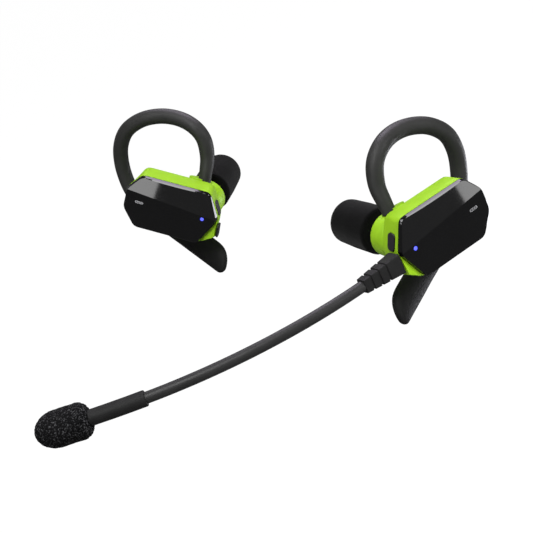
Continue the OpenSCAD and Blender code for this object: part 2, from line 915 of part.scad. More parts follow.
module windscreen() {
    front = screen_l - screen_grip;
    color(foam_black)
        at_mic()
            rotate([0, -90, 0])
                translate([0, 0, -screen_grip])
                    rotate_extrude()
                        polygon(concat(
                            [[screen_bore_r, 0]],
                            [for (a = [-70:10:0])
                                [screen_r, screen_round] + screen_round * [cos(a) - 1, sin(a)]],
                            [for (a = [0:10:90])
                                [screen_r * cos(a), screen_l - screen_nose + screen_nose * sin(a)]],
                            [[0, screen_grip + capsule_l + soft_gap],
                                [screen_bore_r, screen_grip + capsule_l + soft_gap]]
                        ));
}

// ---- Port cover ----

flap_t = 0.5;
flap_w = 2.9;
flap_h = 5;
flap_shift = [0.9, -0.6];

module port_cover() {
    color(seal_black)
        port_place() {
            translate([face_gap, flap_shift[0], flap_shift[1]])
                rotate([0, 90, 0])
                    linear_extrude(flap_t)
                        pad_shape(flap_h, flap_w);
            translate([-0.5, -tongue_w / 2 + 0.15, -tongue_h / 2 + 0.4])
                cube([face_gap + 0.6, tongue_w - 0.3, tongue_h - 0.8]);
        }
}

// ---- The two units ----

module as_right() {
    translate(right_place)
        rotate(right_turn)
            mirror([1, 0, 0])
                children();
}

module left_cover() { cover(); }
module left_seal() { seal(); }
module left_shell() { shell(); }
module left_inner_housing() { inner_housing(); }
module left_nozzle_mesh() { nozzle_mesh(); }
module left_speaker() { speaker(); }
module left_battery() { battery(); }
module left_circuit_board() { circuit_board(); }
module left_button_switch() { button_switch(); }
module left_side_button() { side_button(); }
module left_status_light() { status_light(); }
module left_mic_grille() { mic_grille(); }
module left_port_socket() { port_socket(); }
module left_ear_hook() { ear_hook(); }
module left_hook_wire() { hook_wire(); }
module left_tip_core() { tip_core(); }
module left_foam_tip() { foam_tip(); }
module right_cover() { as_right() cover(); }
module right_seal() { as_right() seal(); }
module right_shell() { as_right() shell(); }
module right_inner_housing() { as_right() inner_housing(); }
module right_nozzle_mesh() { as_right() nozzle_mesh(); }
module right_speaker() { as_right() speaker(); }
module right_battery() { as_right() battery(); }
module right_circuit_board() { as_right() circuit_board(); }
module right_button_switch() { as_right() button_switch(); }
module right_side_button() { as_right() side_button(); }
module right_status_light() { as_right() status_light(); }
module right_mic_grille() { as_right() mic_grille(); }
module right_port_socket() { as_right() port_socket(); }
module right_ear_hook() { as_right() ear_hook(); }
module right_hook_wire() { as_right() hook_wire(); }
module right_tip_core() { as_right() tip_core(); }
module right_foam_tip() { as_right() foam_tip(); }
module right_port_cover() { as_right() port_cover(); }

left_cover();
left_seal();
left_shell();
left_inner_housing();
left_nozzle_mesh();
left_speaker();
left_battery();
left_circuit_board();
left_button_switch();
left_side_button();
left_status_light();
left_mic_grille();
left_port_socket();
left_ear_hook();
left_hook_wire();
left_tip_core();
left_foam_tip();
right_cover();
right_seal();
right_shell();
right_inner_housing();
right_nozzle_mesh();
right_speaker();
right_battery();
right_circuit_board();
right_button_switch();
right_side_button();
right_status_light();
right_mic_grille();
right_port_socket();
right_ear_hook();
right_hook_wire();
right_tip_core();
right_foam_tip();
right_port_cover();
boom_plug();
boom_connector();
boom_tube();
mic_sleeve();
mic_capsule();
windscreen();
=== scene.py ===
"""Dresses two in-ear earpieces with ear hooks, one of which carries a plug-in boom microphone.

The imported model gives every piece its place. This script eases and finishes the moulded pieces,
makes the foam ones anew, and sets the studio round them. Sizes are in millimetres, and MM turns
them into metres where a mesh is made.
"""

import json
import logging
import math
from dataclasses import dataclass, field
from enum import Enum
from typing import Callable, Iterable

import bmesh
import bpy
from mathutils import Euler, Matrix, Vector, noise

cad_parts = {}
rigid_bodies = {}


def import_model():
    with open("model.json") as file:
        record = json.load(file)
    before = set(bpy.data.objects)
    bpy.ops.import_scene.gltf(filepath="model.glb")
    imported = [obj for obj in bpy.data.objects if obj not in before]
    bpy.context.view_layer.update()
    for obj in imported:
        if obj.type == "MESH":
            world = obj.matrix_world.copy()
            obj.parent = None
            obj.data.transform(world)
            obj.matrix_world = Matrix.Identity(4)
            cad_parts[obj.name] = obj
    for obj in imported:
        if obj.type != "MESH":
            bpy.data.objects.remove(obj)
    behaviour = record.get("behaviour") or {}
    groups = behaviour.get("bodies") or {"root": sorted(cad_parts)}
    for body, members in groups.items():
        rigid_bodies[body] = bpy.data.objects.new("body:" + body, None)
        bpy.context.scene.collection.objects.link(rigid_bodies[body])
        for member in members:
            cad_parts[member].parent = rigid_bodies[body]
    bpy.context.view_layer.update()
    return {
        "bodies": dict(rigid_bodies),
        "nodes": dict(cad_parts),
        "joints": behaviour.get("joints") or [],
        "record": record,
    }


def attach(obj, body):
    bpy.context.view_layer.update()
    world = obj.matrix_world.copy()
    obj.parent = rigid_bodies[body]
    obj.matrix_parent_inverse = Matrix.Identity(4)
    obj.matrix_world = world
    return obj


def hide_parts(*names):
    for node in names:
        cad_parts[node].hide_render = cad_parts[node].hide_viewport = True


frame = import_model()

LOG = logging.getLogger("earpieces")
MM = 0.001
# Vertex attribute that says how far along the hook's tail a point of its skin is, and so how much
# painted shade it gets
TAIL_SHADE_SHARE = "tail_shade_share"
# Points closer than this are one point, in millimetres
SAME_POINT = 0.002
# Faces that meet at less than this are one flat face, in degrees
SAME_PLANE = 0.5
# Power of a lamp's face at a radiance of one, in watts per square metre
LAMP_POWER = 4
# Range in which a noise texture mostly stays
NOISE_LOW, NOISE_HIGH = 0.3, 0.7


class Side(Enum):
    """The ear that an earpiece is made for."""

    LEFT = "left"
    RIGHT = "right"


class Grain(Enum):
    """How the relief of a moulded or cut surface is patterned."""

    SPARK = "spark"
    BRUSHED = "brushed"
    CELLS = "cells"


# ---- Nodes and colours ----


def linear(code: str) -> tuple[float, float, float, float]:
    """Turns an sRGB hex code into the linear colour that a shader takes.

    Args:
        code: Six hex digits after a hash sign.

    Returns:
        Red, green, blue and an alpha of one.
    """
    parts = [int(code[i : i + 2], 16) / 255 for i in (1, 3, 5)]
    red, green, blue = (c / 12.92 if c <= 0.04045 else ((c + 0.055) / 1.055) ** 2.4 for c in parts)
    return red, green, blue, 1.0


def add_node(
    tree: bpy.types.NodeTree, kind: str, inputs: dict | None = None, **settings
) -> bpy.types.Node:
    """Adds a node, sets it up and feeds it.

    Args:
        tree: The node tree that gets the node.
        kind: The node's type name.
        inputs: Socket name or number to a value, or to the output socket that feeds it.
        **settings: The node's own properties.

    Returns:
        The new node.
    """
    node = tree.nodes.new(kind)
    for name, value in settings.items():
        setattr(node, name, value)
    for name, value in (inputs or {}).items():
        if isinstance(value, bpy.types.NodeSocket):
            tree.links.new(value, node.inputs[name])
        else:
            node.inputs[name].default_value = value
    return node


# ---- Finishes ----


@dataclass(frozen=True)
class Finish:
    """A moulded, cut or plated surface.

    Attributes:
        name: The material's name.
        slot: The record's material slot. Not used.
        dark: The colour in the surface's duller patches.
        light: The colour in its fresher patches.
        patch_mm: Size of those patches.
        grain: Pattern of the relief.
        grain_mm: Spacing of the relief.
        depth_mm: Height of the relief.
        rough: Lowest and highest roughness.
        metallic: One for bare metal.
        specular: Specular level of the shader.
        sheen: Weight of the sheen that shows at grazing angles.
        glow: Strength of the surface's own light.
        seed: Shift of the noise, so that no two finishes share a pattern.
    """

    name: str
    slot: str
    dark: str
    light: str
    patch_mm: float = 4.0
    grain: Grain = Grain.SPARK
    grain_mm: float = 0.3
    depth_mm: float = 0.01
    rough: tuple[float, float] = (0.4, 0.5)
    metallic: float = 0.0
    specular: float = 0.5
    sheen: float = 0.0
    glow: float = 0.0
    seed: float = 0.0

    def build(self) -> bpy.types.Material:
        """Returns the material, made once and then reused."""
        made = bpy.data.materials.get(self.name)
        if made:
            return made
        made = bpy.data.materials.new(self.name)
        made.use_nodes = True
        tree = made.node_tree
        shader = tree.nodes["Principled BSDF"]
        place = add_node(
            tree,
            "ShaderNodeMapping",
            {
                "Vector": add_node(tree, "ShaderNodeTexCoord").outputs["Object"],
                "Location": (self.seed, self.seed * 0.7, -self.seed),
            },
        ).outputs["Vector"]
        patches = add_node(
            tree,
            "ShaderNodeTexNoise",
            {"Vector": place, "Scale": 1 / (self.patch_mm * MM), "Detail": 3.0, "Roughness": 0.6},
        ).outputs["Fac"]
        relief = self.relief(tree, place)
        self.colour(tree, shader, patches, relief)
        rough = add_node(
            tree,
            "ShaderNodeMapRange",
            {
                "Value": patches,
                "From Min": NOISE_LOW,
                "From Max": NOISE_HIGH,
                "To Min": self.rough[0],
                "To Max": self.rough[1],
            },
        )
        tree.links.new(rough.outputs["Result"], shader.inputs["Roughness"])
        bump = add_node(
            tree, "ShaderNodeBump", {"Height": relief, "Distance": self.depth_mm * MM, "Strength": 1.0}
        )
        tree.links.new(bump.outputs["Normal"], shader.inputs["Normal"])
        shader.inputs["Metallic"].default_value = self.metallic
        shader.inputs["Sheen Weight"].default_value = self.sheen
        if not self.metallic:
            shader.inputs["Specular IOR Level"].default_value = self.specular
        if self.glow:
            shader.inputs["Emission Color"].default_value = linear(self.light)
            shader.inputs["Emission Strength"].default_value = self.glow
        return made

    def relief(self, tree: bpy.types.NodeTree, place: bpy.types.NodeSocket) -> bpy.types.NodeSocket:
        """Adds the surface's relief.

        Args:
            tree: The material's node tree.
            place: The object coordinates, shifted by the seed.

        Returns:
            The socket that carries the height.
        """
        scale = 1 / (self.grain_mm * MM)
        if self.grain is Grain.BRUSHED:
            # Brushing leaves lines that are far longer than they are wide
            place = add_node(
                tree, "ShaderNodeMapping", {"Vector": place, "Scale": (0.05, 1.0, 1.0)}
            ).outputs["Vector"]
        if self.grain is Grain.CELLS:
            return add_node(
                tree, "ShaderNodeTexVoronoi", {"Vector": place, "Scale": scale}, feature="SMOOTH_F1"
            ).outputs["Distance"]
        return add_node(
            tree,
            "ShaderNodeTexNoise",
            {"Vector": place, "Scale": scale, "Detail": 2.0, "Roughness": 0.55},
        ).outputs["Fac"]

    def colour(
        self,
        tree: bpy.types.NodeTree,
        shader: bpy.types.Node,
        patches: bpy.types.NodeSocket,
        relief: bpy.types.NodeSocket,
    ) -> None:
        """Feeds the base colour: it drifts between the dark and the light colour.

        Args:
            tree: The material's node tree.
            shader: The surface's shader.
            patches: Slow noise over the surface.
            relief: The relief's height.
        """
        ramp = add_node(tree, "ShaderNodeValToRGB", {"Fac": patches})
        ramp.color_ramp.elements[0].position = NOISE_LOW
        ramp.color_ramp.elements[0].color = linear(self.dark)
        ramp.color_ramp.elements[1].position = NOISE_HIGH
        ramp.color_ramp.elements[1].color = linear(self.light)
        tree.links.new(ramp.outputs["Color"], shader.inputs["Base Color"])


@dataclass(frozen=True)
class FoamShadeFinish(Finish):
    """Foam whose colour follows its relief, with painted shade in the open cells and a painted
    highlight on the cut rims.

    Attributes:
        rim: The painted highlight's colour on the cut rims between cells.
        rim_from: Height above which a rim gets that painted highlight.
        cell_to: Height under which a cell gets the darkest painted shade.
        wall_from: Height from which a cell's wall has its own colour, as a share of rim_from.
    """

    rim: str = "#4a4a4c"
    rim_from: float = 0.6
    cell_to: float = 0.05
    wall_from: float = 0.6

    def colour(
        self,
        tree: bpy.types.NodeTree,
        shader: bpy.types.Node,
        patches: bpy.types.NodeSocket,
        relief: bpy.types.NodeSocket,
    ) -> None:
        """Feeds the base colour: painted shade in the cells, a painted highlight on a few of the rims.

        Args:
            tree: The material's node tree.
            shader: The surface's shader.
            patches: Slow noise over the surface.
            relief: The relief's height.
        """
        # The relief's height sets the colour: painted shade low in the cells, a painted highlight high
        # on the rims
        height = add_node(tree, "ShaderNodeMath", {0: relief, 1: patches}, operation="MULTIPLY")
        ramp = add_node(tree, "ShaderNodeValToRGB", {"Fac": height.outputs["Value"]})
        ramp.color_ramp.elements[0].position = self.cell_to
        ramp.color_ramp.elements[0].color = linear(self.dark)
        ramp.color_ramp.elements[1].position = self.rim_from * self.wall_from
        ramp.color_ramp.elements[1].color = linear(self.light)
        ramp.color_ramp.elements.new(self.rim_from).color = linear(self.rim)
        tree.links.new(ramp.outputs["Color"], shader.inputs["Base Color"])


@dataclass(frozen=True)
class TailShadeFinish(Finish):
    """The hooks' skin, with painted shade along the tail, where it is darker and has a lower specular
    level.

    Attributes:
        tail: The painted shade's colour along the tail.
        tail_specular: Specular level along the tail, lowered with the painted shade.
    """

    tail: str = "#1c1c1c"
    tail_specular: float = 0.15

    def colour(
        self,
        tree: bpy.types.NodeTree,
        shader: bpy.types.Node,
        patches: bpy.types.NodeSocket,
        relief: bpy.types.NodeSocket,
    ) -> None:
        """Feeds the base colour and the specular level, which both drop along the tail as painted
        shade.

        Args:
            tree: The material's node tree.
            shader: The surface's shader.
            patches: Slow noise over the surface.
            relief: The relief's height.
        """
        super().colour(tree, shader, patches, relief)
        # The vertex attribute sets how much of the tail's painted shade each point gets
        share = add_node(tree, "ShaderNodeAttribute", attribute_name=TAIL_SHADE_SHARE).outputs["Fac"]
        plain = shader.inputs["Base Color"].links[0].from_socket
        # The mix node's colours go in at sockets 6 and 7, and come out at 2
        mixed = add_node(
            tree, "ShaderNodeMix", {0: share, 6: plain, 7: linear(self.tail)}, data_type="RGBA"
        )
        tree.links.new(mixed.outputs[2], shader.inputs["Base Color"])
        level = add_node(
            tree,
            "ShaderNodeMapRange",
            {"Value": share, "To Min": self.specular, "To Max": self.tail_specular},
        )
        tree.links.new(level.outputs["Result"], shader.inputs["Specular IOR Level"])


# High-gloss ABS, moulded against polished steel: near black, with mirror-like reflections
GLOSS_COVER = Finish(
    "high_gloss_black_abs", "gloss_cover", "#0b0b0c", "#0e0e0f",
    patch_mm=9.0, grain_mm=2.5, depth_mm=0.0006, rough=(0.03, 0.05), seed=1.3,
)
# ABS moulded against spark-eroded steel: an even lime green with a fine dull grain
LIME_ABS = Finish(
    "spark_textured_lime_abs", "lime_housing", "#9dd21b", "#a9de25",
    patch_mm=5.0, grain_mm=0.32, depth_mm=0.035, rough=(0.45, 0.55), specular=0.35, seed=2.1,
)
# Silicone overmoulding with a soft-touch skin: dark grey, broad dull highlights, and painted shade
# along the tail
SOFT_SILICONE = TailShadeFinish(
    "soft_touch_grey_silicone_tail_shaded", "soft_grey", "#2c2c2b", "#323231",
    patch_mm=6.0, grain_mm=0.3, depth_mm=0.002, rough=(0.48, 0.56), specular=0.35, seed=3.7,
    # The tail's darker colour and lower specular level are painted shade
    tail="#1c1c1c", tail_specular=0.15,
)
# Silicone keypad rubber: darker than the hook, with a touch of violet
KEY_SILICONE = Finish(
    "violet_black_keypad_silicone", "soft_grey", "#262229", "#2c2730",
    patch_mm=3.0, grain_mm=0.2, depth_mm=0.005, rough=(0.4, 0.46), specular=0.4, seed=4.9,
)
# Moulded elastomer of the boom's plug and sleeve: darker and a little drier than the hooks
BOOM_ELASTOMER = Finish(
    "moulded_boom_elastomer", "soft_grey", "#212121", "#272727",
    patch_mm=5.0, grain_mm=0.25, depth_mm=0.005, rough=(0.58, 0.66), specular=0.2, seed=12.6,
)
# Extruded thermoplastic elastomer: satin, smoother than the moulded silicone
SATIN_TUBE = Finish(
    "extruded_satin_elastomer", "boom_grey", "#2e2e2e", "#343434",
    patch_mm=8.0, grain_mm=0.5, depth_mm=0.004, rough=(0.42, 0.48), specular=0.3, seed=4.4,
)
# Pressed rubber: matt black, almost no highlight
MATT_RUBBER = Finish(
    "pressed_matt_rubber", "black_seal", "#131314", "#191919",
    patch_mm=3.0, grain_mm=0.2, depth_mm=0.006, rough=(0.55, 0.65), specular=0.35, seed=5.2,
)
# Anodised aluminium: silvery and satin
ANODISED = Finish(
    "anodised_aluminium", "silver", "#c4c4c8", "#dadadd",
    patch_mm=2.0, grain=Grain.BRUSHED, grain_mm=0.12, depth_mm=0.004, rough=(0.42, 0.5),
    metallic=1.0, seed=6.1,
)
# Stamped stainless steel: greyer, with drawn lines
STEEL = Finish(
    "stamped_stainless_steel", "steel", "#8d8f92", "#a2a4a7",
    patch_mm=2.0, grain=Grain.BRUSHED, grain_mm=0.15, depth_mm=0.004, rough=(0.28, 0.36),
    metallic=1.0, seed=7.9,
)
# Glass-fibre board under solder mask: green and slightly glossy
SOLDER_MASK = Finish(
    "solder_mask_green", "board", "#14552c", "#1b6b38",
    patch_mm=2.5, grain_mm=0.6, depth_mm=0.01, rough=(0.3, 0.4), seed=8.3,
)
# Clear acrylic light guide, lit from behind
LIT_GUIDE = Finish(
    "lit_acrylic_guide", "light", "#525cff", "#6068ff",
    patch_mm=1.0, grain_mm=0.4, depth_mm=0.001, rough=(0.1, 0.15), glow=0.95, seed=9.6,
)
# Slow-recovery polyurethane foam: a fine skin of closed pores, faint painted shade in them, and a
# faint bloom at its edges
MEMORY_FOAM = FoamShadeFinish(
    "slow_recovery_foam", "foam", "#040404", "#0a0a0a",
    patch_mm=1.2, grain=Grain.CELLS, grain_mm=0.35, depth_mm=0.02, rough=(0.75, 0.85),
    specular=0.05, sheen=0.1, seed=10.2, rim="#0e0e0f", rim_from=0.5,
)
# Open-cell polyurethane foam: ragged cells, with painted shade in them and a painted highlight on
# their cut rims
OPEN_FOAM = FoamShadeFinish(
    "open_cell_foam", "foam", "#040405", "#0f0f10",
    patch_mm=0.6, grain=Grain.CELLS, grain_mm=0.32, depth_mm=0.12, rough=(0.7, 0.85),
    specular=0.1, seed=11.4, rim="#525254", rim_from=0.4,
)


# ---- Making pieces ----


def eased(
    bm: bmesh.types.BMesh, width: float, from_angle: float, to_angle: float, shortest: float
) -> None:
    """Rounds a moulding's sharp edges.

    Args:
        bm: The moulding.
        width: Width of the rounding, in metres.
        from_angle: Smallest angle between faces that counts as an edge, in radians.
        to_angle: Largest such angle.
        shortest: Edges under this length are left alone, in metres.
    """
    edges = [
        e
        for e in bm.edges
        if len(e.link_faces) == 2
        and e.calc_length() > shortest
        and from_angle < e.calc_face_angle(0.0) < to_angle
    ]
    bmesh.ops.bevel(
        bm,
        geom=edges,
        offset=width,
        offset_type="OFFSET",
        segments=2,
        profile=0.5,
        affect="EDGES",
        clamp_overlap=True,
        loop_slide=True,
        material=-1,
    )


def shaded(
    bm: bmesh.types.BMesh, smooth_to: float, crease_area: float = math.inf, flat_to: float = 0.02
) -> None:
    """Smooths the shading over shallow edges and keeps it crisp at the others.

    Args:
        bm: The piece.
        smooth_to: Angle up to which an edge is shaded smoothly, in radians.
        crease_area: A shallow fold between two faces larger than this stays crisp, in square metres.
        flat_to: Angle up to which two faces count as one, with no fold, in radians.
    """
    for face in bm.faces:
        face.smooth = True
    for edge in bm.edges:
        if len(edge.link_faces) != 2:
            continue
        angle = edge.calc_face_angle(0.0)
        folded = angle > flat_to and min(f.calc_area() for f in edge.link_faces) > crease_area
        edge.smooth = angle < smooth_to and not folded


@dataclass
class Workshop:
    """Makes objects of the meshes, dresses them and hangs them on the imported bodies.

    Attributes:
        nodes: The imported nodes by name.
        body_of: Node name to the name of its body.
        made: Names of the pieces made so far.
    """

    nodes: dict[str, bpy.types.Object]
    body_of: dict[str, str]
    made: list[str] = field(default_factory=list)

    @classmethod
    def on(cls, packed: dict) -> "Workshop":
        groups = packed["record"]["behaviour"]["bodies"]
        body_of = {node: body for body, members in groups.items() for node in members}
        return cls(packed["nodes"], body_of)

    def copy_of(self, node: str) -> bmesh.types.BMesh:
        """Copies a node's mesh and merges it into whole faces.

        Args:
            node: The node's name.

        Returns:
            The merged copy.
        """
        bm = bmesh.new()
        bm.from_mesh(self.nodes[node].data)
        bmesh.ops.remove_doubles(bm, verts=bm.verts, dist=SAME_POINT * MM)
        bmesh.ops.dissolve_degenerate(bm, edges=bm.edges, dist=SAME_POINT * MM)
        bmesh.ops.dissolve_limit(
            bm, angle_limit=math.radians(SAME_PLANE), verts=bm.verts, edges=bm.edges
        )
        return bm

    def piece(
        self,
        bm: bmesh.types.BMesh,
        name: str,
        finish: Finish,
        stands_for: Iterable[str],
        flat_first: bool = True,
    ) -> bpy.types.Object:
        """Turns a mesh into a finished piece that rides on its node's body.

        Args:
            bm: The piece's mesh, in place, in metres. It is freed.
            name: The piece's name.
            finish: Its surface.
            stands_for: The nodes that it replaces, all on one body.
            flat_first: Whether large faces decide the shading.

        Returns:
            The new object.
        """
        mesh = bpy.data.meshes.new(name)
        bm.to_mesh(mesh)
        bm.free()
        piece = bpy.data.objects.new(name, mesh)
        bpy.context.scene.collection.objects.link(piece)
        mesh.materials.append(finish.build())
        if flat_first:
            piece.modifiers.new("shading", "WEIGHTED_NORMAL").keep_sharp = True
        nodes = list(stands_for)
        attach(piece, self.body_of[nodes[0]])
        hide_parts(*nodes)
        self.made.append(name)
        LOG.info("%s: %d faces, for %s", name, len(mesh.polygons), ", ".join(nodes))
        return piece

    def moulding(
        self,
        node: str,
        finish: Finish,
        ease_mm: float = 0.0,
        ease_from: float = 50,
        ease_to: float = 130,
        shortest_mm: float = 0.3,
        smooth_to: float = 32,
    ) -> None:
        """Makes the finished piece of a rigid node, with its edges rounded.

        Args:
            node: The node's name, from which the piece's name is made.
            finish: Its surface.
            ease_mm: Width of the rounding on its edges.
            ease_from: Smallest angle of a rounded edge, in degrees.
            ease_to: Largest angle of a rounded edge, in degrees.
            shortest_mm: Shortest edge that is rounded.
            smooth_to: Angle up to which edges shade smoothly, in degrees.
        """
        bm = self.copy_of(node)
        if ease_mm:
            eased(
                bm, ease_mm * MM, math.radians(ease_from), math.radians(ease_to), shortest_mm * MM
            )
        shaded(bm, math.radians(smooth_to))
        self.piece(bm, node + "_moulding", finish, [node])

    def dress(self, node: str, finish: Finish) -> None:
        """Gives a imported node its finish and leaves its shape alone.

        Args:
            node: The node's name.
            finish: Its surface.
        """
        packed = self.nodes[node]
        if not packed.material_slots:
            packed.data.materials.append(None)
        for slot in packed.material_slots:
            slot.material = finish.build()


def in_order(bm: bmesh.types.BMesh) -> None:
    """Sorts a mesh's points, edges and faces by place, so that each run stores them alike.

    Args:
        bm: The mesh, in which no two points coincide.
    """
    for rank, vert in enumerate(sorted(bm.verts, key=lambda v: tuple(v.co))):
        vert.index = rank
    bm.verts.sort()
    for parts in (bm.edges, bm.faces):
        for rank, part in enumerate(sorted(parts, key=lambda p: sorted(v.index for v in p.verts))):
            part.index = rank
        parts.sort()


def spun(
    profile: list[tuple[float, float]], cuts: int, steps: int, closed: bool
) -> bmesh.types.BMesh:
    """Spins a profile into a solid about its local Z axis.

    Args:
        profile: Radius and height of each of its points, in millimetres.
        cuts: Extra points along each stretch of the profile.
        steps: Steps round the axis.
        closed: Whether the profile's last point joins its first.

    Returns:
        The solid, in metres, with its faces outwards.
    """
    bm = bmesh.new()
    points = [bm.verts.new((r * MM, 0, z * MM)) for r, z in profile]
    pairs = list(zip(points, points[1:])) + ([(points[-1], points[0])] if closed else [])
    edges = [bm.edges.new(pair) for pair in pairs]
    if cuts:
        bmesh.ops.subdivide_edges(bm, edges=edges, cuts=cuts)
    bmesh.ops.spin(
        bm,
        geom=list(bm.verts) + list(bm.edges),
        cent=(0, 0, 0),
        axis=(0, 0, 1),
        dvec=(0, 0, 0),
        angle=2 * math.pi,
        steps=steps,
        use_merge=True,
        use_duplicate=False,
    )
    bmesh.ops.remove_doubles(bm, verts=bm.verts, dist=SAME_POINT * MM)
    bmesh.ops.recalc_face_normals(bm, faces=bm.faces)
    in_order(bm)
    return bm


def arc(
    middle: tuple[float, float], radius: float, start: float, end: float, steps: int
) -> list[tuple[float, float]]:
    """Points on an arc.

    Args:
        middle: The arc's centre.
        radius: Its radius.
        start: Its first angle, in degrees.
        end: Its last angle, in degrees.
        steps: Steps between them.

    Returns:
        The points, both ends included.
    """
    turn = [math.radians(start + (end - start) * i / steps) for i in range(steps + 1)]
    return [(middle[0] + radius * math.cos(a), middle[1] + radius * math.sin(a)) for a in turn]


def pitted(
    bm: bmesh.types.BMesh, cell_mm: float, depth_mm: float, seed: float, steepness: float = 1.6
) -> None:
    """Sinks foam cells into a mesh along its normals.

    Args:
        bm: The mesh, in its own frame, in metres.
        cell_mm: Size of a cell.
        depth_mm: Depth of a cell's middle.
        seed: Shift of the pattern.
        steepness: How fast a cell gets shallower away from its middle.
    """
    bm.normal_update()
    shift = Vector((seed, seed * 0.6, -seed))
    for vert in bm.verts:
        nearest = noise.voronoi(vert.co / (cell_mm * MM) + shift)[0][0]
        vert.co -= vert.normal * depth_mm * MM * max(0.0, 1.0 - steepness * nearest)


# ---- The earpieces ----


@dataclass
class Earpiece:
    """One earpiece. It is drawn with +X to the back of the head, +Y into the ear and +Z up.

    Attributes:
        side: The ear that it is made for.
        place: Its origin, in the middle of the foam's grip, in millimetres.
        turn: Its turn about X, then Y, then Z, in degrees.
        foam_radius: Radius of the foam tip.
        foam_back: Depth of the foam's back face.
        foam_front: Depth of the foam's front.
        foam_nose: Radius of the foam just behind its rounded front.
        foam_round: Radius of that rounding.
        foam_bevel: Width of the bevel at the foam's back.
        foam_straight: Depth up to which the foam has its full radius.
        core_radius: Radius of the bore in the foam.
        cover_smooth: Angle up to which the cover's edges shade smoothly, in degrees.
        cover_fold: Least area of two of its faces that keep the fold between them crisp, in
            square millimetres.
        rim_depth: Depth of the back edge of the cover's rim, before it is widened.
        rim_extra: How much wider the rim gets.
        facet_tilt: Tilt of the cover's upper facet, in degrees.
        brow_edge: Least length of the edges along the cover's top.
        brow_height: Least height of those edges.
        brow_width: Widest part of the crescent along the cover's top edge.
        brow_back: How far the crescent's middle moves back, as a share of its width.
        brow_fullness: Power that shapes the crescent's ends: the lower, the blunter.
        brow_cuts: Steps along that crescent.
        guide_share: Width of the light guide, as a share of its hole.
        tail_from: Where the hook's tail starts: the largest X and Z on it.
        tail_fade: Length over which the tail's painted shade sets in.
    """

    side: Side
    place: tuple[float, float, float] = (0.0, 0.0, 0.0)
    turn: tuple[float, float, float] = (0.0, 0.0, 0.0)
    foam_radius: float = 7.0
    foam_back: float = -4.5
    foam_front: float = 13.5
    foam_nose: float = 6.7
    foam_round: float = 2.2
    foam_bevel: float = 0.5
    foam_straight: float = 4.0
    core_radius: float = 3.45
    cover_smooth: float = 24.0
    cover_fold: float = 20.0
    rim_depth: float = -23.0
    rim_extra: float = 0.4
    facet_tilt: float = 4.0
    brow_edge: float = 15.0
    brow_height: float = 10.0
    brow_width: float = 0.32
    brow_back: float = 0.25
    brow_fullness: float = 0.8
    brow_cuts: int = 19
    guide_share: float = 0.75
    tail_from: tuple[float, float] = (27.0, -5.0)
    tail_fade: float = 15.0

    def node(self, part: str) -> str:
        """Returns the name of this earpiece's node for a part."""
        return f"{self.side.value}_{part}"

    def matrix(self) -> Matrix:
        """Returns the turn, mirroring and shift from the earpiece's frame to the shared one."""
        turn = Euler([math.radians(a) for a in self.turn], "XYZ").to_matrix().to_4x4()
        mirror = Matrix.Diagonal((-1 if self.side is Side.RIGHT else 1, 1, 1, 1))
        return Matrix.Translation(Vector(self.place) * MM) @ turn @ mirror

    def plane_brow(self, cover: bmesh.types.BMesh) -> None:
        """Widens the cover's rim all round, and planes a long crescent off its top edge.

        Args:
            cover: The merged and shaded cover, which is changed.
        """
        place = self.matrix() @ Matrix.Scale(MM, 4)
        home = place.inverted()

        def level(edge: bmesh.types.BMEdge) -> tuple[float, float]:
            """Returns the height and then the depth of an edge's middle, for sorting."""
            middle = home @ ((edge.verts[0].co + edge.verts[1].co) / 2)
            return round(middle.z, 1), middle.y

        def rise(edge: bmesh.types.BMEdge) -> float:
            """Returns how much higher one end of an edge lies than the other."""
            first, second = (home @ vert.co for vert in edge.verts)
            return abs(first.z - second.z)

        for vert in cover.verts:
            at = home @ vert.co
            if math.isclose(at.y, self.rim_depth, abs_tol=0.01):
                vert.co = place @ (at + Vector((0, self.rim_extra, 0)))
        long_edges = [
            edge
            for edge in cover.edges
            if edge.calc_length() > self.brow_edge * MM and level(edge)[0] > self.brow_height
        ]
        # One of them runs askew between two rows, and would cut across the crescent
        slant = max(long_edges, key=rise)
        long_edges.remove(slant)
        bmesh.utils.face_join(list(slant.link_faces))
        rows = [self.cut_row(edge, home) for edge in sorted(long_edges, key=level)[:3]]
        slope = math.tan(math.radians(self.facet_tilt))
        for step, (low, middle, high) in enumerate(zip(*rows), start=1):
            share = 4 * step * (self.brow_cuts + 1 - step) / (self.brow_cuts + 1) ** 2
            width = self.brow_width * share**self.brow_fullness
            low.co = place @ (home @ low.co - Vector((0, width * slope, width)))
            middle.co = place @ (home @ middle.co + Vector((0, self.brow_back * width, 0)))
            for first, second in ((low, middle), (middle, high)):
                shared = next(face for face in first.link_faces if second in face.verts)
                bmesh.utils.face_split(shared, first, second)

    def cut_row(self, edge: bmesh.types.BMEdge, home: Matrix) -> list[bmesh.types.BMVert]:
        """Cuts an edge into equal steps.

        Args:
            edge: The edge.
            home: Turns the shared frame into the earpiece's.

        Returns:
            The new points, from the front of the head to the back.
        """
        vert = min(edge.verts, key=lambda v: (home @ v.co).x)
        row = []
        for left in range(self.brow_cuts, 0, -1):
            vert = bmesh.utils.edge_split(edge, vert, 1 / (left + 1))[1]
            row.append(vert)
        return row

    def narrow(self, bm: bmesh.types.BMesh, share: float) -> None:
        """Narrows a piece about its middle, across the earpiece's Y axis.

        Args:
            bm: The piece's mesh.
            share: The new width as a share of the old.
        """
        place = self.matrix()
        home = place.inverted()
        middle = home @ (sum((v.co for v in bm.verts), Vector()) / len(bm.verts))
        for vert in bm.verts:
            off = home @ vert.co - middle
            vert.co = place @ (middle + Vector((off.x * share, off.y, off.z * share)))

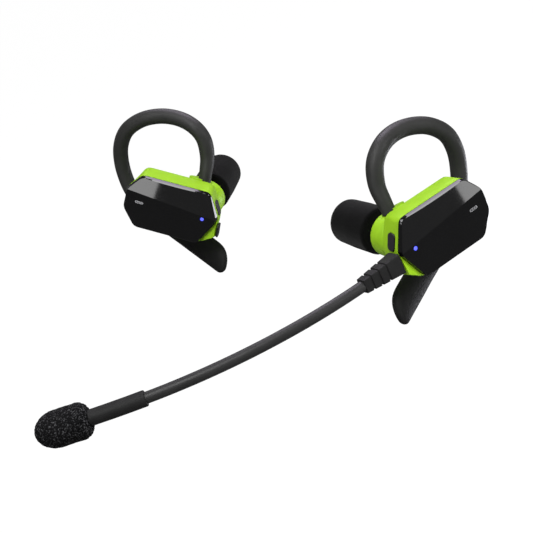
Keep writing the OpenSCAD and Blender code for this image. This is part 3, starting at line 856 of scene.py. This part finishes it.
    def dress_housing(self, shop: Workshop) -> None:
        """Finishes the cover, the two lime mouldings and the seal between them."""
        cover = shop.copy_of(self.node("cover"))
        shaded(cover, math.radians(self.cover_smooth), crease_area=self.cover_fold * MM * MM)
        self.plane_brow(cover)
        shop.piece(cover, self.node("cover_moulding"), GLOSS_COVER, [self.node("cover")])
        shop.moulding(self.node("shell"), LIME_ABS, smooth_to=40)
        shop.moulding(self.node("inner_housing"), LIME_ABS, smooth_to=40)
        shop.dress(self.node("seal"), MATT_RUBBER)

    def dress_controls(self, shop: Workshop) -> None:
        """Finishes the side button, the light guide and the microphone's grille."""
        shop.moulding(self.node("side_button"), KEY_SILICONE, ease_mm=0.15, shortest_mm=0.05)
        guide = shop.copy_of(self.node("status_light"))
        shaded(guide, smooth_to=math.radians(32))
        self.narrow(guide, self.guide_share)
        shop.piece(guide, self.node("status_light_moulding"), LIT_GUIDE, [self.node("status_light")])
        shop.moulding(self.node("mic_grille"), ANODISED, ease_mm=0.05, shortest_mm=0.02)

    def dress_inside(self, shop: Workshop) -> None:
        """Gives the sealed pieces their finishes."""
        for part, finish in {
            "nozzle_mesh": STEEL,
            "speaker": STEEL,
            "battery": ANODISED,
            "circuit_board": SOLDER_MASK,
            "button_switch": STEEL,
            "port_socket": STEEL,
            "hook_wire": STEEL,
            "tip_core": MATT_RUBBER,
        }.items():
            shop.dress(self.node(part), finish)

    def make_hook(self, shop: Workshop) -> None:
        """Makes the hook from its node: the faceted sweep becomes one smooth skin."""
        bm = shop.copy_of(self.node("ear_hook"))
        bmesh.ops.join_triangles(
            bm, faces=bm.faces, angle_face_threshold=math.radians(40), angle_shape_threshold=math.pi
        )
        shaded(bm, smooth_to=math.radians(40))
        crease = bm.edges.layers.float.new("crease_edge")
        for edge in bm.edges:
            edge[crease] = 0.0 if edge.smooth else 1.0
        # Each point of the tail gets a share of painted shade, growing along the tail
        share = bm.verts.layers.float.new(TAIL_SHADE_SHARE)
        home = self.matrix().inverted()
        largest_x, largest_z = self.tail_from
        for vert in bm.verts:
            at = home @ vert.co / MM
            if at.z < largest_z:
                vert[share] = min(1.0, max(0.0, (largest_x - at.x) / self.tail_fade))
        hook = shop.piece(
            bm, self.node("hook_overmould"), SOFT_SILICONE, [self.node("ear_hook")], flat_first=False
        )
        skin = hook.modifiers.new("skin", "SUBSURF")
        skin.levels = skin.render_levels = 1

    def make_foam_tip(self, shop: Workshop) -> None:
        """Makes the foam tip: a barrel with a bevelled back, a rounded front and a bore."""
        profile = [
            (self.core_radius, self.foam_back),
            (self.foam_radius - self.foam_bevel, self.foam_back),
            (self.foam_radius, self.foam_back + self.foam_bevel),
            (self.foam_radius, self.foam_straight),
        ]
        round_middle = (self.foam_nose - self.foam_round, self.foam_front - self.foam_round)
        profile += arc(round_middle, self.foam_round, start=0, end=90, steps=5)
        profile += [(self.core_radius, self.foam_front)]
        bm = spun(profile, cuts=7, steps=112, closed=True)
        pitted(bm, cell_mm=0.6, depth_mm=0.05, seed=2.0 if self.side is Side.LEFT else 7.0)
        along_y = Matrix.Rotation(math.radians(-90), 4, "X")
        bmesh.ops.transform(bm, matrix=self.matrix() @ along_y, verts=bm.verts)
        bmesh.ops.recalc_face_normals(bm, faces=bm.faces)
        shaded(bm, smooth_to=math.radians(50))
        tip = shop.piece(
            bm, self.node("foam_barrel"), MEMORY_FOAM, [self.node("foam_tip")], flat_first=False
        )

    def build(self, shop: Workshop) -> None:
        """Builds and dresses the whole earpiece."""
        self.dress_housing(shop)
        self.dress_controls(shop)
        self.dress_inside(shop)
        self.make_hook(shop)
        self.make_foam_tip(shop)
        LOG.info("%s earpiece done", self.side.value)


@dataclass
class PortCover:
    """The small rubber cover of the right earpiece's port."""

    node: str = "right_port_cover"

    def build(self, shop: Workshop) -> None:
        """Finishes the cover."""
        shop.moulding(self.node, MATT_RUBBER, ease_mm=0.12, shortest_mm=0.05)


# ---- The boom ----


@dataclass
class Boom:
    """The plug, tube, sleeve and windscreen of the boom microphone.

    Attributes:
        plug_end: The tube's start, in millimetres.
        tube_bend: Radius and angle of the tube's bend.
        sleeve_bend: Radius and angle of the sleeve's bend.
        screen_radius: Radius of the windscreen.
        screen_length: Length of the windscreen.
        screen_grip: Length of the sleeve inside it.
        screen_round: Radius of the rounding at its back.
        screen_nose: Length of its round nose.
        bore_radius: Radius of its bore.
        bore_length: Length of its bore.
    """

    plug_end: tuple[float, float, float] = (-21.05, -20.9, -1.7)
    tube_bend: tuple[float, float] = (142.0, 26.9)
    sleeve_bend: tuple[float, float] = (220.0, 4.9)
    screen_radius: float = 5.2
    screen_length: float = 16.0
    screen_grip: float = 3.0
    screen_round: float = 3.2
    screen_nose: float = 6.6
    bore_radius: float = 2.5
    bore_length: float = 8.3

    @staticmethod
    def after_bend(radius: float, angle: float) -> Matrix:
        """Returns the frame past a bend of that radius, in millimetres, and angle, in degrees."""
        out = Matrix.Translation((0, radius * MM, 0))
        return out @ Matrix.Rotation(math.radians(-angle), 4, "Z") @ out.inverted()

    def tip_matrix(self) -> Matrix:
        """Returns the frame at the sleeve's end, with +Z along the boom, away from the plug."""
        start = Matrix.Translation(Vector(self.plug_end) * MM)
        end = start @ self.after_bend(*self.tube_bend) @ self.after_bend(*self.sleeve_bend)
        return end @ Matrix.Rotation(math.radians(-90), 4, "Y")

    def make_windscreen(self, shop: Workshop) -> None:
        """Makes the windscreen: a ragged foam sock with a round nose."""
        bore = [(0.0, self.bore_length), (self.bore_radius, self.bore_length), (self.bore_radius, 0.0)]
        back_middle = (self.screen_radius - self.screen_round, self.screen_round)
        back = arc(back_middle, self.screen_round, start=-70, end=0, steps=5)
        nose = [
            (self.screen_radius * r, self.screen_length - self.screen_nose * (1 - z))
            for r, z in arc((0, 0), 1.0, start=0, end=90, steps=9)
        ]
        profile = bore + back + nose[:-1] + [(0.0, self.screen_length)]
        bm = spun(profile, cuts=6, steps=120, closed=False)
        pitted(bm, cell_mm=0.8, depth_mm=0.38, seed=3.0)
        pitted(bm, cell_mm=0.5, depth_mm=0.12, seed=5.0)
        grip = Matrix.Translation((0, 0, -self.screen_grip * MM))
        bmesh.ops.transform(bm, matrix=self.tip_matrix() @ grip, verts=bm.verts)
        shaded(bm, smooth_to=math.radians(60))
        sock = shop.piece(bm, "windscreen_foam", OPEN_FOAM, ["windscreen"], flat_first=False)

    def build(self, shop: Workshop) -> None:
        """Builds and dresses the whole boom."""
        shop.moulding(
            "boom_plug", BOOM_ELASTOMER, ease_mm=0.12, ease_from=55, shortest_mm=0.2, smooth_to=30
        )
        shop.moulding("boom_tube", SATIN_TUBE)
        shop.moulding("mic_sleeve", BOOM_ELASTOMER, ease_mm=0.3, ease_from=60, shortest_mm=0.1)
        shop.moulding("boom_connector", ANODISED, ease_mm=0.1, ease_from=60, shortest_mm=0.1)
        shop.dress("mic_capsule", STEEL)
        self.make_windscreen(shop)
        LOG.info("boom done")


# ---- The studio ----


@dataclass(frozen=True)
class Softbox:
    """An area lamp that faces the earpieces.

    Attributes:
        name: The lamp's name.
        place: Where it stands, in millimetres.
        target: The point that it faces, in millimetres.
        size: Its width and height, in millimetres.
        radiance: How bright its face is.
        mirrored: Whether it shows in shiny surfaces.
    """

    name: str
    place: tuple[float, float, float]
    target: tuple[float, float, float]
    size: tuple[float, float]
    radiance: float
    mirrored: bool = True

    def build(self) -> None:
        """Adds the lamp."""
        data = bpy.data.lights.new(self.name, "AREA")
        data.shape = "RECTANGLE"
        data.size, data.size_y = (side * MM for side in self.size)
        data.energy = self.radiance * LAMP_POWER * data.size * data.size_y
        lamp = bpy.data.objects.new(self.name, data)
        bpy.context.scene.collection.objects.link(lamp)
        lamp.location = Vector(self.place) * MM
        ahead = Vector(self.target) - Vector(self.place)
        lamp.rotation_euler = ahead.to_track_quat("-Z", "Y").to_euler()
        lamp.visible_camera = False
        lamp.visible_glossy = self.mirrored


@dataclass(frozen=True)
class Card:
    """A flat card of the stage that shows only in shiny surfaces.

    Attributes:
        name: The card's name.
        corners: Its corners in order, in millimetres.
        colour: Its colour.
        radiance: How bright it is.
    """

    name: str
    corners: tuple[tuple[float, float, float], ...]
    colour: str
    radiance: float

    def build(self) -> None:
        """Adds the card."""

        def shade(tree: bpy.types.NodeTree) -> bpy.types.NodeSocket:
            """Returns a plain glow."""
            return add_node(
                tree, "ShaderNodeEmission", {"Color": linear(self.colour), "Strength": self.radiance}
            ).outputs[0]

        card = stage_sheet(self.name, self.corners, shade)
        card.visible_camera = False
        card.visible_diffuse = False
        card.visible_shadow = False
        card.visible_transmission = False


def stage_sheet(
    name: str,
    corners: Iterable[tuple[float, float, float]],
    shade: Callable[[bpy.types.NodeTree], bpy.types.NodeSocket],
) -> bpy.types.Object:
    """Adds a flat sheet of the stage.

    Args:
        name: The sheet's name.
        corners: Its corners in order, in millimetres.
        shade: Adds the sheet's shader to a node tree and returns its output.

    Returns:
        The sheet.
    """
    bm = bmesh.new()
    bm.faces.new([bm.verts.new(Vector(c) * MM) for c in corners])
    mesh = bpy.data.meshes.new(name)
    bm.to_mesh(mesh)
    bm.free()
    sheet = bpy.data.objects.new(name, mesh)
    bpy.context.scene.collection.objects.link(sheet)
    material = bpy.data.materials.new(name)
    material.use_nodes = True
    tree = material.node_tree
    tree.links.new(shade(tree), tree.nodes["Material Output"].inputs["Surface"])
    mesh.materials.append(material)
    return sheet


def square(reach: float, height: float) -> tuple[tuple[float, float, float], ...]:
    """Returns the corners of a level square round the vertical axis."""
    return tuple((x * reach, y * reach, height) for x, y in ((-1, -1), (1, -1), (1, 1), (-1, 1)))


@dataclass(frozen=True)
class Studio:
    """The camera, the pale floor, the lamps and the cards whose reflections shape the gloss.

    Attributes:
        eye: The camera's place, in millimetres.
        right: The camera's right.
        up: The camera's up.
        lens: Focal length, in millimetres.
        sensor: Width of the sensor, in millimetres.
        floor_drop: Depth of the floor under the origin, in millimetres.
        floor_reach: Half the floor's width.
        floor_colour: Colour of the floor.
        sky: Strength of the even light from all round.
        white_share: How much of the floor and the sky is plain white to the camera.
        white_level: How bright that white is.
        tent_floor: Height of the dark tent's floor, in millimetres.
        tent_reach: Half the tent's width, and the height of its top.
        tent_radiance: How bright the dark tent is.
        lamps: The softboxes.
        cards: The cards seen only in gloss.
    """

    eye: tuple[float, float, float] = (-165.0, -288.8, 162.1)
    right: tuple[float, float, float] = (0.7792, -0.5276, -0.3385)
    up: tuple[float, float, float] = (0.5084, 0.2161, 0.8336)
    lens: float = 85.0
    sensor: float = 36.0
    floor_drop: float = 190.0
    floor_reach: float = 4000.0
    floor_colour: str = "#c4c4c4"
    sky: float = 0.09
    white_share: float = 0.85
    white_level: float = 1.16
    tent_floor: float = -170.0
    tent_reach: float = 2500.0
    tent_radiance: float = 0.15
    lamps: tuple[Softbox, ...] = (
        Softbox("key_softbox", (-200, -170, 490), (0, 30, 0), (300, 300), 6.0),
        Softbox("front_right_softbox", (300, -350, 350), (0, 30, 0), (300, 300), 4.7, mirrored=False),
        Softbox("back_left_softbox", (-250, 200, 450), (0, 30, 0), (300, 300), 1.6, mirrored=False),
        Softbox("back_right_softbox", (220, 270, 350), (0, 30, 0), (400, 280), 1.5, mirrored=False),
        Softbox("low_softbox", (150, -350, -170), (0, 30, 0), (300, 300), 2.5, mirrored=False),
    )
    cards: tuple[Card, ...] = (
        # The key light's face in two parts, as the rims of the two covers mirror it
        Card(
            "key_face",
            ((180, 60, 350), (440, 60, 350), (440, 420, 350), (180, 420, 350)),
            "#e9def2", 7.0,
        ),
        Card(
            "right_key_face",
            ((100, 60, 350), (142, 60, 350), (178, 125, 350), (178, 420, 350), (100, 420, 350)),
            "#e9def2", 8.5,
        ),
        # Two cards for the crescents along the covers' top edges
        Card(
            "left_brow",
            ((125, -265, 80), (190, -265, 80), (190, -240, 190), (125, -240, 190)),
            "#f4f4f6", 10.5,
        ),
        Card(
            "right_brow",
            ((-225, -110, 110), (-258, -71, 110), (-258, -71, 200), (-225, -110, 200)),
            "#f4f4f6", 11.0,
        ),
        # A dim card and a bright one for the left cover's upper facet
        Card(
            "left_dim",
            ((100, -324, -128), (227, -244, -128), (240, -264, -62), (112, -344, -62)),
            "#ffffff", 0.27,
        ),
        Card(
            "left_bright",
            ((168, -262, -115), (202, -241, -115), (198, -246, -70), (164, -267, -70)),
            "#ffffff", 5.2,
        ),
        # The same for the right cover
        Card(
            "right_dim",
            ((-306, -54, -116), (-350, 23, -35), (-347, -16, 11), (-303, -92, -71)),
            "#ffffff", 0.27,
        ),
        Card(
            "right_bright",
            ((-308, -1, -68), (-324, 28, -37), (-322, -8, 5), (-306, -37, -25)),
            "#ffffff", 5.6,
        ),
        # A small bright card for the right cover's front rim
        Card(
            "right_rim",
            ((200, -25, -155), (200, 80, -155), (200, 80, -80), (200, -25, -80)),
            "#f6f6ff", 10.0,
        ),
    )

    def add_camera(self) -> None:
        """Adds the camera and makes it the scene's own."""
        data = bpy.data.cameras.new("camera")
        data.lens = self.lens
        data.sensor_width = self.sensor
        data.clip_start = 0.01
        data.clip_end = 50.0
        camera = bpy.data.objects.new("camera", data)
        bpy.context.scene.collection.objects.link(camera)
        right = Vector(self.right).normalized()
        back = right.cross(Vector(self.up)).normalized()
        up = back.cross(right)
        turn = Matrix((right, up, back)).transposed().to_4x4()
        camera.matrix_world = Matrix.Translation(Vector(self.eye) * MM) @ turn
        bpy.context.scene.camera = camera

    def mostly_white(
        self, tree: bpy.types.NodeTree, lit: bpy.types.NodeSocket
    ) -> bpy.types.NodeSocket:
        """Mixes plain white into a shader for what the camera and clear or shiny things see.

        Args:
            tree: The node tree.
            lit: The shader that lights the object, and that takes its shadow.

        Returns:
            The mixed shader.
        """
        path = add_node(tree, "ShaderNodeLightPath").outputs
        seen = add_node(tree, "ShaderNodeMath", {0: path["Is Camera Ray"], 1: path["Is Glossy Ray"]})
        seen = add_node(tree, "ShaderNodeMath", {0: seen.outputs[0], 1: path["Is Transmission Ray"]})
        share = add_node(
            tree, "ShaderNodeMath", {0: seen.outputs[0], 1: self.white_share}, operation="MULTIPLY"
        )
        white = add_node(
            tree, "ShaderNodeEmission", {"Color": linear("#ffffff"), "Strength": self.white_level}
        )
        inputs = {0: share.outputs[0], 1: lit, 2: white.outputs[0]}
        return add_node(tree, "ShaderNodeMixShader", inputs).outputs[0]

    def add_floor(self) -> None:
        """Adds the pale floor. It shows near white, and keeps the shadow that falls on it."""

        def shade(tree: bpy.types.NodeTree) -> bpy.types.NodeSocket:
            """Returns the floor's shader."""
            lit = add_node(tree, "ShaderNodeBsdfDiffuse", {"Color": linear(self.floor_colour)})
            return self.mostly_white(tree, lit.outputs[0])

        stage_sheet("floor", square(self.floor_reach, -self.floor_drop), shade)

    def add_sky(self) -> None:
        """Sets an even grey sky, which shows near white too."""
        world = bpy.data.worlds.new("studio")
        world.use_nodes = True
        tree = world.node_tree
        background = tree.nodes["Background"]
        background.inputs["Color"].default_value = linear("#ffffff")
        background.inputs["Strength"].default_value = self.sky
        shown = self.mostly_white(tree, background.outputs[0])
        tree.links.new(shown, tree.nodes["World Output"].inputs["Surface"])
        bpy.context.scene.world = world

    def add_tent(self) -> None:
        """Adds a dark tent that only shiny surfaces see, which keeps the covers black."""
        ring = square(self.tent_reach, self.tent_floor)
        top = square(self.tent_reach, self.tent_reach)
        walls = [(ring[i - 1], ring[i], top[i], top[i - 1]) for i in range(4)]
        for number, corners in enumerate((ring, top, *walls)):
            Card(f"dark_tent_{number}", corners, "#ffffff", self.tent_radiance).build()

    def build(self) -> None:
        """Sets the studio up."""
        bpy.context.scene.view_settings.view_transform = "Standard"
        self.add_camera()
        self.add_floor()
        self.add_sky()
        self.add_tent()
        for item in (*self.lamps, *self.cards):
            item.build()
        LOG.info("studio done")


def main() -> None:
    """Builds the headset and the studio, and notes how many pieces were made."""
    logging.basicConfig(level=logging.INFO, format="%(name)s: %(message)s")
    shop = Workshop.on(frame)
    Studio().build()
    Earpiece(Side.LEFT).build(shop)
    Earpiece(Side.RIGHT, place=(-3.9, 88.4, -0.3), turn=(-1.6, 29.0, -49.6)).build(shop)
    PortCover().build(shop)
    Boom().build(shop)
    LOG.info("%d pieces made", len(shop.made))


if __name__ == "__main__":
    main()
